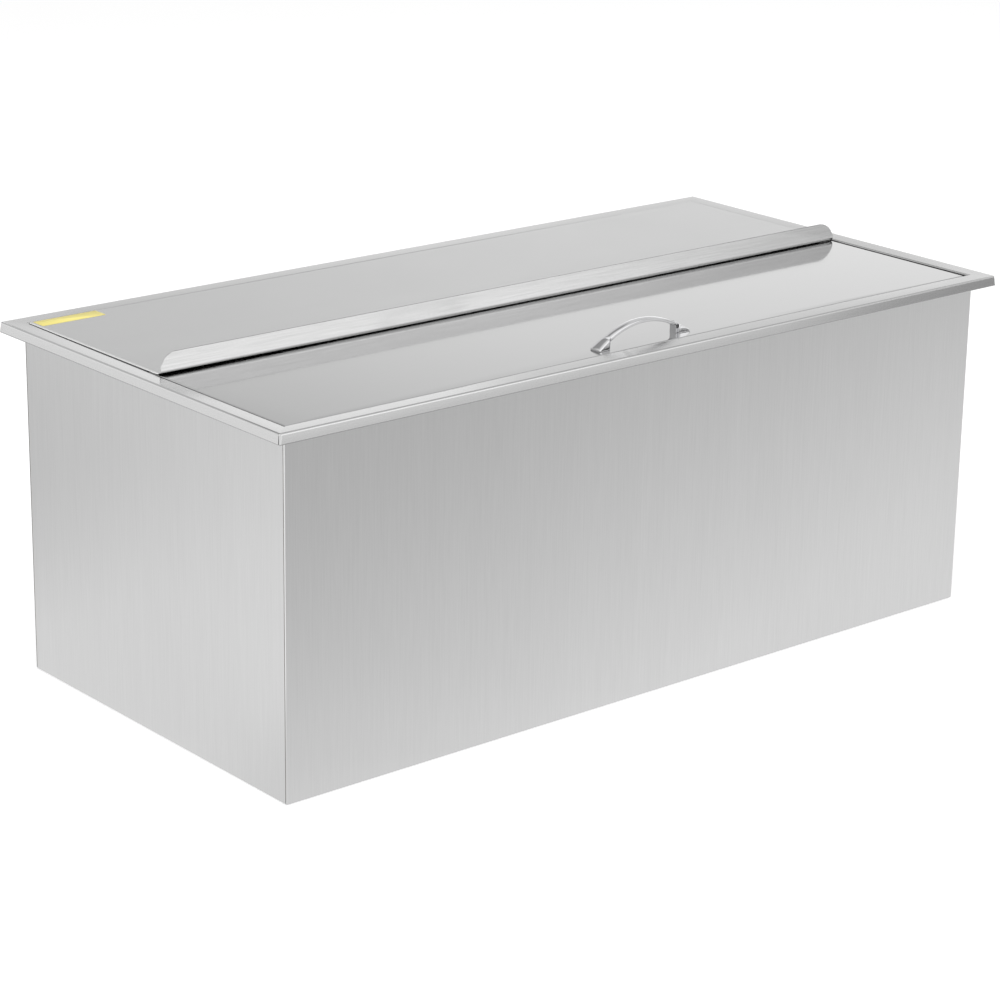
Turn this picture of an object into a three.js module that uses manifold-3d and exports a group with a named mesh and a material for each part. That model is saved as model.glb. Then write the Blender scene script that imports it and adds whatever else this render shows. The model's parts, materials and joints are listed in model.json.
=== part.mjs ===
// Drop-in insulated ice chest with a two-piece sliding cover, in millimetres.
// Frame: origin at the centre of the base, X along the front, -Y to the front, Z up.
import * as THREE from "three";
import { RoundedBoxGeometry } from "three/addons/geometries/RoundedBoxGeometry.js";
import { mergeVertices } from "three/addons/utils/BufferGeometryUtils.js";
import Module from "manifold-3d";

const wasm = await Module();
wasm.setup();

// Sheet and fits
const sheet = 1; // stainless sheet of every panel, cover and the liner
const touch = 0.3; // clearance between pieces that touch or are welded
const overrun = 5; // how far a cutter runs past what it cuts
const weldTolerance = 1e-4; // corners nearer than this are one corner
const arcSteps = 4; // facets of a small sheet bend
const roundSides = 48; // facets of a round piece

// Rim: a flat band round the top, with a skirt outside and a recess inside
const rimWidth = 914.4;
const rimDepth = 457.2;
const rimTop = 355.6;
const skirtHeight = 10.6;
const skirtFlare = 0.9; // how far the skirt leans out from its top bend to its foot
const bandFall = 0.5; // how far the band falls from its outer bend to the recess
const hemWidth = 8; // inward return at the foot of the skirt, which lies on the counter
const rimOuterBend = 2;
const rimInnerBend = 1.5;
const rimCorner = 2.6; // rounding of the skirt's upright corners
const hemBend = 1.1;
const ledgeBend = 1.8;
const ledgeDrop = 12.7; // from the top of the rim down to the ledge that carries the covers
const rimSeamWidth = 0.7; // open seam between the front or rear sheet and an end
const rimSeamInset = 1.2; // from the corner of the skirt in to that seam

// Casing: five folded sheets under the rim
const rimOverhang = 17.6; // from the edge of the rim in to the casing
const casingBend = 1.3;
const casingReturn = 12; // inward return at the foot of each wall sheet
const casingSteps = 3;

// Liner and foam
const foamWall = 24;
const wellFloor = 32; // height of the liner's floor above the base
const linerCorner = 20;
const linerSteps = 5;

// Covers
const coverClearance = 1.2; // from the recess wall to the rear cover
const frontClearance = 5.2; // from the recess's front wall to the front cover
const coverBend = 1.2;
const coverSteps = 2;
const rearCoverProud = 0.3; // top of the rear cover above the rim
const rearCoverDepth = 222.8; // from its rear edge to the foot of the lip
const frontCoverDrop = 1.9; // top of the front cover below the rim
const slideClearance = 1.7; // from the rear cover's side flange to the front cover
const coverOverlap = 20.8; // how far the front cover reaches behind the lip
const lipHeight = 18.1; // above the rear cover
const lipBend = 3;
const lipLean = THREE.MathUtils.degToRad(9);
const lipInset = 1.5; // from the side of the rear cover to the lip's end
const lipCorner = 18.1;
const lipCornerSteps = 8;
const flangeSetback = 22; // from the foot of the lip back to the start of the side flanges

// Handle: a low arch with a wide tail and a foot at each end
const handleSetback = 23.7; // from the recess's front wall to the middle of the handle
const screwSpacing = 96;
const footWall = 6; // from a screw's axis to the inner side of its foot
const tailStep = 1.5; // from a screw's axis inwards to the step where the tail widens
const tailLength = 15; // from that step out to the tip
const handleRise = 22.2;
const handleStripWidth = 9.6;
const handleTailWidth = 13;
const handleTipHeight = 1.7;
const archThickness = 3.8; // of the strip at the middle of the arch
const footHeight = 7; // underside of the strip above the cover where it meets the foot
const handleEdge = 0.6; // rounding of the long edges
const handleSteps = 36;
const beadRadius = 1.1;
const footGrooveWidth = 0.7;
const footGrooveDepth = 0.6;

// Screws of the handle
const screwRadius = 2;
const screwHoleClearance = 0.3;
const screwGrip = 4.6; // length of the screw inside the foot
const screwHeadRadius = 3.9;
const screwHeadHeight = 2.6;
const screwDriveRadius = 1.3;
const screwDriveDepth = 1.4;
const screwWasherRadius = 5;
const screwWasherThickness = 0.8;

// Drain in the middle of the well
const drainBore = 12.5;
const drainTail = 16.5;
const drainFlange = 27;
const drainFlangeThickness = 2;
const drainFunnel = 17;
const drainFunnelDepth = 3;
const drainEnd = 2; // height of the tail's end above the base
const dishMargin = 5; // from the drain's flange to the side of the liner's pressed dish
const dishDepth = 4.6;
const drainClearance = 0.5; // from the tail to the hole in the liner
const bottomHoleClearance = 1.5;
const pocketClearance = 3; // from the dish to the hole in the foam
const gasketThickness = 1.5;
const gasketInset = 0.5; // from the edge of the flange in to the gasket
const washerThickness = 1.5;
const washerWidth = 9;
const locknutThickness = 8;
const locknutWall = 6.5; // from the tail's thread to a flat of the nut
const hexSides = 6;

// Rubber plug with its pull ring
const plugClearance = 0.4; // from the plug's neck to the drain's bore
const plugTaper = 0.9;
const plugLength = 15;
const plugSeat = 3; // how far the head reaches past the funnel on to the flange
const plugHeadHeight = 3;
const plugHeadEdge = 1;
const lugRadius = 5;
const lugThickness = 3.4;
const lugStem = 4.4; // from the head up to the middle of the lug's eye
const lugEye = 2.2;
const ringRadius = 9;
const ringWire = 1.2;
const ringSides = 8;

// Sizes that follow from the ones above
const recessWidth = rimWidth - 2 * (rimOverhang + 2 * sheet + touch);
const recessDepth = rimDepth - 2 * (rimOverhang + 2 * sheet + touch);
const recessInset = (rimWidth - recessWidth) / 2;
const ledgeTop = rimTop - ledgeDrop;
const skirtFoot = rimTop - skirtHeight;
const skirtLow = skirtFoot + hemBend;
const skirtHigh = rimTop - rimOuterBend;
const casingWidth = rimWidth - 2 * rimOverhang;
const casingDepth = rimDepth - 2 * rimOverhang;
const casingTop = rimTop - bandFall - sheet - touch;
const foamWidth = casingWidth - 2 * (sheet + touch);
const foamDepth = casingDepth - 2 * (sheet + touch);
const linerWidth = foamWidth - 2 * (foamWall + touch);
const linerDepth = foamDepth - 2 * (foamWall + touch);
const wellWidth = linerWidth - 2 * sheet;
const wellDepth = linerDepth - 2 * sheet;
const linerTop = ledgeTop - sheet - touch;
const foamTop = linerTop - sheet - touch;
const foamFoot = 2 * (sheet + touch);
const rearCoverTop = rimTop + rearCoverProud;
const frontCoverTop = rimTop - frontCoverDrop;
const coverFoot = ledgeTop + touch;
const rearCoverWidth = recessWidth - 2 * coverClearance;
const frontCoverWidth = rearCoverWidth - 2 * (sheet + slideClearance);
const coverFront = -recessDepth / 2 + frontClearance;
const coverRear = recessDepth / 2 - coverClearance;
const lipFront = coverRear - rearCoverDepth;
const frontCoverRear = lipFront + coverOverlap;
const handleY = -recessDepth / 2 + handleSetback;
const footInner = screwSpacing / 2 - footWall;
const tailStart = screwSpacing / 2 - tailStep;
const handleHalfLength = tailStart + tailLength;
const screwHoleRadius = screwRadius + screwHoleClearance;
const dishRadius = drainFlange + dishMargin;
const dishFloor = wellFloor - dishDepth;
const gasketFoot = dishFloor + touch;
const flangeFoot = gasketFoot + gasketThickness + touch;
const flangeTop = flangeFoot + drainFlangeThickness;
const washerTop = dishFloor - sheet - touch;
const locknutTop = washerTop - washerThickness - touch;
const linerHole = drainTail + drainClearance;
const plugHeadFoot = flangeTop + touch;
const plugHeadTop = plugHeadFoot + plugHeadHeight;
const lugEyeZ = plugHeadTop + lugStem;

// Finishes
const finish = (color, roughness, metalness) =>
  new THREE.MeshStandardMaterial({ color, roughness, metalness });
const brushedSteel = finish(0xc8c9ca, 0.34, 1);
const brightSteel = finish(0xd2d3d4, 0.16, 1);
const chrome = finish(0xdfe0e2, 0.08, 1);
const zincSteel = finish(0xb4b7ba, 0.4, 1);
const foam = finish(0xe9dfbd, 0.95, 0);
const rubber = finish(0x1d1d1e, 0.8, 0);
const fibre = finish(0x7c5a3c, 0.9, 0);

// A closed three.js geometry as a solid that can be joined and cut.
function solidOf(geometry) {
  const bare = geometry.clone();
  bare.deleteAttribute("normal");
  bare.deleteAttribute("uv");
  const merged = mergeVertices(bare, weldTolerance);
  return new wasm.Manifold(
    new wasm.Mesh({
      numProp: 3,
      vertProperties: merged.attributes.position.array,
      triVerts: new Uint32Array(merged.index.array),
    }),
  );
}

// The solid as a flat-shaded geometry.
function geometryOf(solid) {
  const mesh = solid.getMesh();
  const shared = new THREE.BufferGeometry();
  shared.setAttribute("position", new THREE.BufferAttribute(mesh.vertProperties, 3));
  shared.setIndex(new THREE.BufferAttribute(mesh.triVerts, 1));
  const geometry = shared.toNonIndexed();
  geometry.computeVertexNormals();
  return geometry;
}

function piece(name, solid, material) {
  const mesh = new THREE.Mesh(geometryOf(solid), material);
  mesh.name = name;
  return mesh;
}

// A block between two corners.
function block(low, high) {
  const size = high.map((value, i) => value - low[i]);
  const middle = high.map((value, i) => (value + low[i]) / 2);
  return solidOf(new THREE.BoxGeometry(...size).translate(...middle));
}

// A block centred on the Z axis, between two heights.
function centredBlock(width, depth, foot, top) {
  return block([-width / 2, -depth / 2, foot], [width / 2, depth / 2, top]);
}

// The same with every edge rounded.
function roundedBlock(low, high, radius, steps) {
  const size = high.map((value, i) => value - low[i]);
  const middle = high.map((value, i) => (value + low[i]) / 2);
  return solidOf(new RoundedBoxGeometry(...size, steps, radius).translate(...middle));
}

// An upright round bar on the Z axis.
function bar(radius, foot, top, sides = roundSides) {
  const geometry = new THREE.CylinderGeometry(radius, radius, top - foot, sides);
  return solidOf(geometry.rotateX(Math.PI / 2).translate(0, 0, (foot + top) / 2));
}

// A flat ring on the Z axis.
function washerRing(inner, outer, foot, top, sides = roundSides) {
  return bar(outer, foot, top, sides).subtract(bar(inner, foot - overrun, top + overrun));
}

// A solid turned round the Z axis from points of radius and height.
function turned(points) {
  const profile = points.map(([radius, height]) => new THREE.Vector2(radius, height));
  return solidOf(new THREE.LatheGeometry(profile, roundSides).rotateX(Math.PI / 2));
}

// Whole numbers from 0 up to a last one.
function countTo(last) {
  return [...Array(last + 1).keys()];
}

// Points on an arc of a flat outline, from one angle to another in degrees.
function arc(x, y, radius, from, to, steps = arcSteps) {
  return countTo(steps).map((i) => {
    const angle = THREE.MathUtils.degToRad(from + ((to - from) * i) / steps);
    return [x + radius * Math.cos(angle), y + radius * Math.sin(angle)];
  });
}

// Two distances from the middle, as low and high values on one side of it.
function span(side, near, far) {
  return [Math.min(side * near, side * far), Math.max(side * near, side * far)];
}

function outline(points) {
  return new THREE.Shape(points.map(([x, y]) => new THREE.Vector2(x, y)));
}

// An outline in Y and Z, extruded along X about the middle.
function alongX(points, length) {
  const geometry = new THREE.ExtrudeGeometry(outline(points), {
    depth: length,
    bevelEnabled: false,
  });
  const turn = new THREE.Matrix4().makeBasis(
    new THREE.Vector3(0, 1, 0),
    new THREE.Vector3(0, 0, 1),
    new THREE.Vector3(1, 0, 0),
  );
  return solidOf(geometry.translate(0, 0, -length / 2).applyMatrix4(turn));
}

// An outline in X and Z, extruded along Y about the middle, with its long edges rounded.
function alongY(points, length, edge = 0) {
  const geometry = new THREE.ExtrudeGeometry(outline(points), {
    depth: length - 2 * edge,
    bevelEnabled: edge > 0,
    bevelThickness: edge,
    bevelSize: edge,
    bevelOffset: -edge,
    bevelSegments: 2,
  });
  return solidOf(geometry.translate(0, 0, edge - length / 2).rotateX(Math.PI / 2));
}

// A sheet section swept round a rectangle with mitred corners. Each point of the section gives
// the distance in from the rectangle and the height.
function rectangleSweep(section, width, depth) {
  const corners = [
    [1, -1],
    [1, 1],
    [-1, 1],
    [-1, -1],
  ];
  const positions = corners.flatMap(([sideX, sideY]) =>
    section.flatMap(([inset, height]) => [
      sideX * (width / 2 - inset),
      sideY * (depth / 2 - inset),
      height,
    ]),
  );
  const count = section.length;
  const index = countTo(corners.length - 1).flatMap((corner) =>
    countTo(count - 1).flatMap((i) => {
      const here = corner * count;
      const there = ((corner + 1) % corners.length) * count;
      const next = (i + 1) % count;
      return [here + i, there + next, here + next, here + i, there + i, there + next];
    }),
  );
  const geometry = new THREE.BufferGeometry();
  geometry.setAttribute("position", new THREE.Float32BufferAttribute(positions, 3));
  geometry.setIndex(index);
  return solidOf(geometry);
}

// Rim frame: hem, skirt, band, recess wall and ledge folded from one sheet
function rimFrame() {
  const wall = recessInset;
  const ledgeX = wall + ledgeBend - sheet;
  const ledgeZ = ledgeTop + ledgeBend - sheet;
  const ledgeEdge = (rimWidth - wellWidth) / 2 + linerCorner;
  const outerX = skirtFlare + rimOuterBend;
  const innerX = wall - rimInnerBend;
  const innerZ = rimTop - bandFall - rimInnerBend;
  const section = [
    [hemWidth, skirtFoot],
    ...arc(hemBend, skirtLow, hemBend, 270, 180),
    ...arc(outerX, skirtHigh, rimOuterBend, 180, 90),
    ...arc(innerX, innerZ, rimInnerBend, 90, 0),
    ...arc(ledgeX, ledgeZ, ledgeBend - sheet, 180, 270),
    [ledgeEdge, ledgeTop],
    [ledgeEdge, ledgeTop - sheet],
    ...arc(ledgeX, ledgeZ, ledgeBend, 270, 180),
    ...arc(innerX, innerZ, rimInnerBend - sheet, 0, 90),
    ...arc(outerX, skirtHigh, rimOuterBend - sheet, 90, 180),
    ...arc(hemBend, skirtLow, hemBend - sheet, 180, 270),
    [hemWidth, skirtFoot + sheet],
  ];
  const opening = roundedBlock(
    [-wellWidth / 2, -wellDepth / 2, ledgeTop - 2 * linerCorner],
    [wellWidth / 2, wellDepth / 2, ledgeTop + 2 * linerCorner],
    linerCorner - sheet,
    linerSteps,
  );
  let frame = rectangleSweep(section, rimWidth, rimDepth).subtract(opening);
  frame = frame.intersect(skirtSpace());
  const cut = sheet + skirtFlare + touch + overrun;
  for (const sideX of [-1, 1]) {
    for (const sideY of [-1, 1]) {
      const seam = [
        [rimSeamInset, skirtLow],
        [rimSeamInset + rimSeamWidth, skirtLow],
        [rimSeamInset + rimSeamWidth, skirtHigh],
        [rimSeamInset, skirtHigh],
      ].map(([inset, z]) => [sideY * (rimDepth / 2 - inset - skirtInset(z)), z]);
      const slot = alongX(seam, cut).translate(sideX * (rimWidth / 2 + overrun - cut / 2), 0, 0);
      frame = frame.subtract(slot);
    }
  }
  return frame;
}

// How far in from its foot the flared skirt is at a height
function skirtInset(z) {
  return (skirtFlare * (z - skirtLow)) / (skirtHigh - skirtLow);
}

// The space inside the skirt's outer faces, with rounded upright corners
function skirtSpace() {
  const posts = [skirtFoot - overrun, rimTop + overrun].flatMap((z) =>
    [-1, 1].flatMap((sideX) =>
      [-1, 1].map((sideY) => {
        const inset = skirtInset(z) + rimCorner;
        const post = bar(rimCorner, z, z + touch, 4 * arcSteps);
        return post.translate(
          sideX * (rimWidth / 2 - inset),
          sideY * (rimDepth / 2 - inset),
          0,
        );
      }),
    ),
  );
  return wasm.Manifold.hull(posts);
}

// The folded shell that the casing's wall sheets are cut from
function casingShell() {
  const half = [casingWidth / 2, casingDepth / 2];
  const top = casingTop + 2 * casingBend;
  const outer = roundedBlock([-half[0], -half[1], 0], [...half, top], casingBend, casingSteps);
  const inner = roundedBlock(
    [sheet - half[0], sheet - half[1], sheet],
    [half[0] - sheet, half[1] - sheet, top + overrun],
    casingBend - sheet,
    casingSteps,
  );
  return outer.subtract(inner).intersect(
    centredBlock(rimWidth, rimDepth, -overrun, casingTop),
  );
}

// A front or rear wall sheet: it wraps both upright corners and has a return at its foot.
function longWall(side) {
  const [wallLow, wallHigh] = span(side, casingDepth / 2 - casingBend, rimDepth / 2);
  const [footLow, footHigh] = span(side, casingDepth / 2 - casingReturn, rimDepth / 2);
  const footX = casingWidth / 2 - casingBend - touch;
  const region = block([-rimWidth / 2, wallLow, -overrun], [rimWidth / 2, wallHigh, rimTop]).add(
    block([-footX, footLow, -overrun], [footX, footHigh, sheet + touch]),
  );
  return casingShell().intersect(region);
}

// An end wall sheet: it butts against the two long sheets.
function endWall(side) {
  const [wallLow, wallHigh] = span(side, casingWidth / 2 - casingBend, rimWidth / 2);
  const [footLow, footHigh] = span(side, casingWidth / 2 - casingReturn, rimWidth / 2);
  const wallY = casingDepth / 2 - casingBend - touch;
  const footY = casingDepth / 2 - casingReturn - touch;
  const region = block([wallLow, -wallY, -overrun], [wallHigh, wallY, rimTop]).add(
    block([footLow, -footY, -overrun], [footHigh, footY, sheet + touch]),
  );
  return casingShell().intersect(region);
}

function casingBottom() {
  const inset = 2 * (casingBend + touch);
  const plate = centredBlock(
    casingWidth - inset,
    casingDepth - inset,
    sheet + touch,
    2 * sheet + touch,
  );
  return plate.subtract(bar(drainTail + bottomHoleClearance, -overrun, foamFoot + overrun));
}

// Liner: a deep box with coved corners, a flange under the ledge and a dish round the drain
function innerLiner() {
  const high = linerTop + 2 * linerCorner;
  const outer = roundedBlock(
    [-linerWidth / 2, -linerDepth / 2, wellFloor - sheet],
    [linerWidth / 2, linerDepth / 2, high],
    linerCorner,
    linerSteps,
  );
  const inner = roundedBlock(
    [-wellWidth / 2, -wellDepth / 2, wellFloor],
    [wellWidth / 2, wellDepth / 2, high + overrun],
    linerCorner - sheet,
    linerSteps,
  );
  const flange = centredBlock(recessWidth, recessDepth, linerTop - sheet, linerTop);
  const dishOuter = bar(dishRadius + sheet, dishFloor - sheet, wellFloor - sheet / 2);
  const dishInner = bar(dishRadius, dishFloor, wellFloor + overrun);
  return outer
    .intersect(centredBlock(rimWidth, rimDepth, -overrun, linerTop))
    .add(flange)
    .add(dishOuter)
    .subtract(inner)
    .subtract(dishInner)
    .subtract(bar(linerHole, -overrun, wellFloor));
}

// Foam boards: the long ones run the full width, the end ones stand between them.
function longBoard(side) {
  const [low, high] = span(side, linerDepth / 2 + touch, foamDepth / 2);
  return block([-foamWidth / 2, low, foamFoot], [foamWidth / 2, high, foamTop]);
}

function endBoard(side) {
  const [low, high] = span(side, linerWidth / 2 + touch, foamWidth / 2);
  return block([low, -linerDepth / 2, foamFoot], [high, linerDepth / 2, foamTop]);
}

function floorBoard() {
  const board = centredBlock(linerWidth, linerDepth, foamFoot, wellFloor - sheet - touch);
  const pocket = dishRadius + sheet + pocketClearance;
  return board.subtract(bar(pocket, foamFoot - overrun, wellFloor));
}

// An upturned tray of sheet, open below, between two Y places
function tray(width, front, rear, top) {
  const deep = top - 2 * (top - coverFoot);
  const outer = roundedBlock(
    [-width / 2, front, deep],
    [width / 2, rear, top],
    coverBend,
    coverSteps,
  );
  const inner = roundedBlock(
    [sheet - width / 2, front + sheet, deep - overrun],
    [width / 2 - sheet, rear - sheet, top - sheet],
    coverBend - sheet,
    coverSteps,
  );
  const keep = block([-rimWidth, -rimDepth, coverFoot], [rimWidth, rimDepth, top + overrun]);
  return outer.subtract(inner).intersect(keep);
}

function frontCover() {
  const screwHole = bar(screwHoleRadius, coverFoot, frontCoverTop + overrun);
  return tray(frontCoverWidth, coverFront, frontCoverRear, frontCoverTop)
    .subtract(screwHole.translate(-screwSpacing / 2, handleY, 0))
    .subtract(screwHole.translate(screwSpacing / 2, handleY, 0));
}

// Rear cover: a tray with no front flange, whose sheet turns up into a leaning lip. Its side
// flanges stop short of the lip, so that the front cover's corners pass below it.
function rearCover() {
  const bendY = lipFront + lipBend;
  const cutFront = bendY - 2 * coverBend - overrun;
  const topStrip = block([-rimWidth, bendY, rearCoverTop - coverBend], [rimWidth, rimDepth, rimWidth]);
  const behind = block([-rimWidth, lipFront + flangeSetback, 0], [rimWidth, rimDepth, rimWidth]);
  const body = tray(rearCoverWidth, cutFront, coverRear, rearCoverTop).intersect(
    topStrip.add(behind),
  );
  const innerBend = lipBend - sheet;
  const bendZ = rearCoverTop + innerBend;
  const leanDegrees = THREE.MathUtils.radToDeg(lipLean);
  const top = rearCoverTop + lipHeight;
  const outerBend = arc(bendY, bendZ, lipBend, 270, 180 - leanDegrees, 2 * arcSteps);
  const insideBend = arc(bendY, bendZ, innerBend, 180 - leanDegrees, 270, 2 * arcSteps);
  const rise = ([y, z]) => [y + (top - z) * Math.tan(lipLean), top];
  const section = [
    [bendY + sheet, rearCoverTop - sheet],
    ...outerBend,
    rise(outerBend[outerBend.length - 1]),
    rise(insideBend[0]),
    ...insideBend,
    [bendY + sheet, rearCoverTop],
  ];
  const length = rearCoverWidth - 2 * lipInset;
  const end = length / 2 - lipCorner;
  const face = [
    [-length / 2, coverFoot],
    [length / 2, coverFoot],
    ...arc(end, top - lipCorner, lipCorner, 0, 90, lipCornerSteps),
    ...arc(-end, top - lipCorner, lipCorner, 90, 180, lipCornerSteps),
  ];
  return body.add(alongX(section, length).intersect(alongY(face, rimDepth)));
}

// Height of a parabolic arch at a distance from its middle
function archHeight(x, halfLength, rise, end) {
  return rise - (rise - end) * (x / halfLength) ** 2;
}

// Points along such an arch, from one distance to another
function archPoints(from, to, steps, ...arch) {
  return countTo(steps).map((i) => {
    const x = from + ((to - from) * i) / steps;
    return [x, archHeight(x, ...arch)];
  });
}

// Handle, in its own frame: origin on the cover under the middle of the arch
function handle() {
  const upper = [handleHalfLength, handleRise, handleTipHeight];
  const under = [footInner, handleRise - archThickness, footHeight];
  const side = [
    [-handleHalfLength, touch],
    [-footInner, touch],
    ...archPoints(-footInner, footInner, handleSteps, ...under),
    [footInner, touch],
    [handleHalfLength, touch],
    ...archPoints(handleHalfLength, -handleHalfLength, handleSteps, ...upper),
  ];
  const tailSide = [
    [tailStart, touch],
    [handleHalfLength, touch],
    ...archPoints(handleHalfLength, tailStart, arcSteps, ...upper),
  ];
  const mirrored = tailSide.map(([x, z]) => [-x, z]).reverse();
  let solid = alongY(side, handleStripWidth, handleEdge)
    .add(alongY(tailSide, handleTailWidth, handleEdge))
    .add(alongY(mirrored, handleTailWidth, handleEdge));
  for (const end of [-1, 1]) {
    solid = solid.add(tailBead(end, archHeight(tailStart - beadRadius, ...upper)));
    const [grooveLow, grooveHigh] = span(end, tailStart - footGrooveWidth, tailStart);
    for (const face of [-1, 1]) {
      const depth = handleStripWidth / 2 - footGrooveDepth;
      const [low, high] = span(face, depth, handleStripWidth / 2 + overrun);
      solid = solid.subtract(
        block([grooveLow, low, -overrun], [grooveHigh, high, footHeight - touch]),
      );
    }
    const hole = bar(screwHoleRadius, -overrun, touch + screwGrip + touch);
    solid = solid.subtract(hole.translate((end * screwSpacing) / 2, 0, 0));
  }
  return solid;
}

// Raised bead across the strip, just inside the step of a tail
function tailBead(end, top) {
  const length = handleStripWidth - 2 * (beadRadius + handleEdge);
  const bead = new THREE.CapsuleGeometry(beadRadius, length, arcSteps, 2 * arcSteps);
  return solidOf(bead.translate(end * (tailStart - beadRadius), 0, top - beadRadius / 2));
}

// Pan-head screw from below the cover, in the handle's frame
function handleScrew() {
  const headTop = -sheet - screwWasherThickness - 2 * touch;
  const headFoot = headTop - screwHeadHeight;
  const drive = bar(screwDriveRadius, headFoot - overrun, headFoot + screwDriveDepth, hexSides);
  return bar(screwHeadRadius, headFoot, headTop)
    .add(bar(screwRadius, headTop - touch, touch + screwGrip))
    .subtract(drive);
}

function handleWasher() {
  const top = -sheet - touch;
  return washerRing(screwHoleRadius, screwWasherRadius, top - screwWasherThickness, top);
}

// Drain pieces, on the Z axis
function drainBody() {
  return turned([
    [drainBore, drainEnd],
    [drainTail, drainEnd],
    [drainTail, flangeFoot],
    [drainFlange, flangeFoot],
    [drainFlange, flangeTop - touch],
    [drainFlange - touch, flangeTop],
    [drainFunnel, flangeTop],
    [drainBore, flangeTop - drainFunnelDepth],
    [drainBore, drainEnd],
  ]);
}

function drainGasket() {
  return washerRing(linerHole, drainFlange - gasketInset, gasketFoot, gasketFoot + gasketThickness);
}

function drainWasher() {
  return washerRing(linerHole, linerHole + washerWidth, washerTop - washerThickness, washerTop);
}

function drainLocknut() {
  const cornerRadius = (drainTail + locknutWall) / Math.cos(Math.PI / hexSides);
  const foot = locknutTop - locknutThickness;
  return washerRing(drainTail + touch, cornerRadius, foot, locknutTop, hexSides);
}

// Rubber plug: a tapered foot, a head over the funnel and a lug with an eye
function drainPlug() {
  const neck = drainBore - plugClearance;
  const head = drainFunnel + plugSeat;
  const body = turned([
    [0, plugHeadFoot - plugLength],
    [neck - plugTaper, plugHeadFoot - plugLength],
    [neck, plugHeadFoot - drainFunnelDepth],
    [neck, plugHeadFoot],
    [head, plugHeadFoot],
    [head, plugHeadTop - plugHeadEdge],
    [head - plugHeadEdge, plugHeadTop],
    [0, plugHeadTop],
  ]);
  const lugOutline = [
    [-lugRadius, plugHeadTop - plugHeadEdge],
    [lugRadius, plugHeadTop - plugHeadEdge],
    ...arc(0, lugEyeZ, lugRadius, 0, 180, 3 * arcSteps),
  ];
  const eye = arc(0, lugEyeZ, lugEye, 0, 360, 3 * arcSteps).slice(1);
  return body.add(alongY(lugOutline, lugThickness)).subtract(alongY(eye, 2 * lugThickness));
}

// Wire ring through the lug's eye, lying back on the plug's head
function plugRing() {
  const drop = Math.asin((lugStem - ringWire - touch) / (2 * ringRadius));
  const ring = new THREE.TorusGeometry(ringRadius, ringWire, ringSides, roundSides);
  return solidOf(ring.translate(ringRadius, 0, 0).rotateY(drop).translate(0, 0, lugEyeZ));
}

// Assembly
const chest = new THREE.Group();
chest.add(
  piece("rim_frame", rimFrame(), brushedSteel),
  piece("casing_front", longWall(-1), brushedSteel),
  piece("casing_rear", longWall(1), brushedSteel),
  piece("casing_left", endWall(-1), brushedSteel),
  piece("casing_right", endWall(1), brushedSteel),
  piece("casing_bottom", casingBottom(), brushedSteel),
  piece("inner_liner", innerLiner(), brushedSteel),
  piece("insulation_front", longBoard(-1), foam),
  piece("insulation_rear", longBoard(1), foam),
  piece("insulation_left", endBoard(-1), foam),
  piece("insulation_right", endBoard(1), foam),
  piece("insulation_floor", floorBoard(), foam),
);

const drain = new THREE.Group();
drain.add(
  piece("drain_body", drainBody(), brightSteel),
  piece("drain_gasket", drainGasket(), rubber),
  piece("drain_washer", drainWasher(), fibre),
  piece("drain_locknut", drainLocknut(), zincSteel),
  piece("drain_plug", drainPlug(), rubber),
  piece("drain_plug_ring", plugRing(), chrome),
);

const frontLid = new THREE.Group();
frontLid.add(piece("front_cover", frontCover(), brightSteel));
const handleGroup = new THREE.Group();
handleGroup.position.set(0, handleY, frontCoverTop);
handleGroup.add(piece("cover_handle", handle(), chrome));
for (const [name, end] of [
  ["left", -1],
  ["right", 1],
]) {
  const screw = piece(`handle_screw_${name}`, handleScrew(), zincSteel);
  const washer = piece(`handle_washer_${name}`, handleWasher(), zincSteel);
  screw.position.x = (end * screwSpacing) / 2;
  washer.position.x = (end * screwSpacing) / 2;
  handleGroup.add(screw, washer);
}
frontLid.add(handleGroup);

const rearLid = new THREE.Group();
rearLid.add(piece("rear_cover", rearCover(), brushedSteel));

const iceChest = new THREE.Group();
iceChest.add(chest, drain, frontLid, rearLid);

export default iceChest;
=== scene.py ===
import json
import math

import bmesh
import bpy
from mathutils import Matrix, Vector


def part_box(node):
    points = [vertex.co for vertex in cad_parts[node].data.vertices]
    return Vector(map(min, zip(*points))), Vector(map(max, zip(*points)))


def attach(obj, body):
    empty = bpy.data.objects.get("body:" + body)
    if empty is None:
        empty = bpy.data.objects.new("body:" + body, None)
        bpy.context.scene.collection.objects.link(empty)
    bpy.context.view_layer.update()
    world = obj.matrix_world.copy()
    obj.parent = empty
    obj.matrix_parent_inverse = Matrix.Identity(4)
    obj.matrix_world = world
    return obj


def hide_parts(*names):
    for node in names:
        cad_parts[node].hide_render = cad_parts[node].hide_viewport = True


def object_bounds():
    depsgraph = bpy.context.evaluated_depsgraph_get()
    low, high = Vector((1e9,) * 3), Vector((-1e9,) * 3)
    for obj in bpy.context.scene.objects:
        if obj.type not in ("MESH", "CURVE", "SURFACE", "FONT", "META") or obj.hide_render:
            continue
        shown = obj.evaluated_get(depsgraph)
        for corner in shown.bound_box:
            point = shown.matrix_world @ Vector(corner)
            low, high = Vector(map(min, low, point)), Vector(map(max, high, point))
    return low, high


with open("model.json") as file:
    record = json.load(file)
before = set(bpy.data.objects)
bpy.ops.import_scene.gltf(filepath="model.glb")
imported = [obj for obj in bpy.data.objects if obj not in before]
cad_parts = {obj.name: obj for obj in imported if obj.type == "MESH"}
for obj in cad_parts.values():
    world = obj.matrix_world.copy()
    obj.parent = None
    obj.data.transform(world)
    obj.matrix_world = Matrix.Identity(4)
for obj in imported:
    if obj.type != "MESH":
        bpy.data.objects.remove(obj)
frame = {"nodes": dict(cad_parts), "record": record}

# Metres, in the frame of the solids: X along the front, -Y to the front, Z up.
MM = 0.001
cad_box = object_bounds()
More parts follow.
